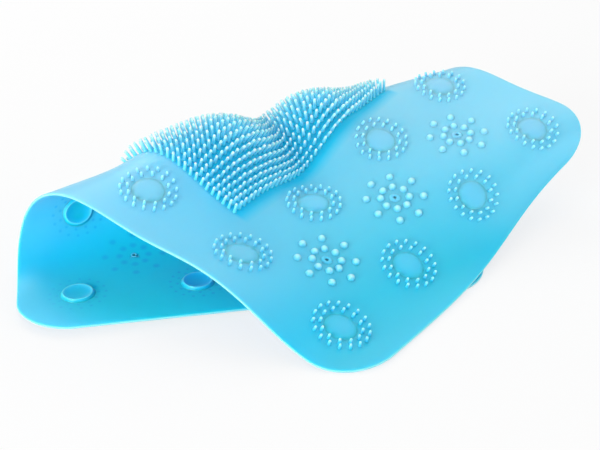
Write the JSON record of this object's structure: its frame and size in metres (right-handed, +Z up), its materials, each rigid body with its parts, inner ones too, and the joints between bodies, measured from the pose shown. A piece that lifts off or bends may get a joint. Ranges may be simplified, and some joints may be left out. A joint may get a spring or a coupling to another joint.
{
  "type": "foot massage mat",
  "caption": "Soft silicone foot massage mat with rings of nubs, drain holes, a bristle field and suction cups beneath, lying with one end folded back under it.",
  "frame": {"origin": "middle of the folded mat's footprint, on the floor", "axes": "+Z up; +X to the right along the picture's picture plane; +Y away from the viewer"},
  "size_m": [0.4276, 0.3224, 0.099],
  "materials": {
    "silicone": "satin"
  },
  "bodies": {
    "root": {"mat": "silicone"}
  },
  "joints": []
}
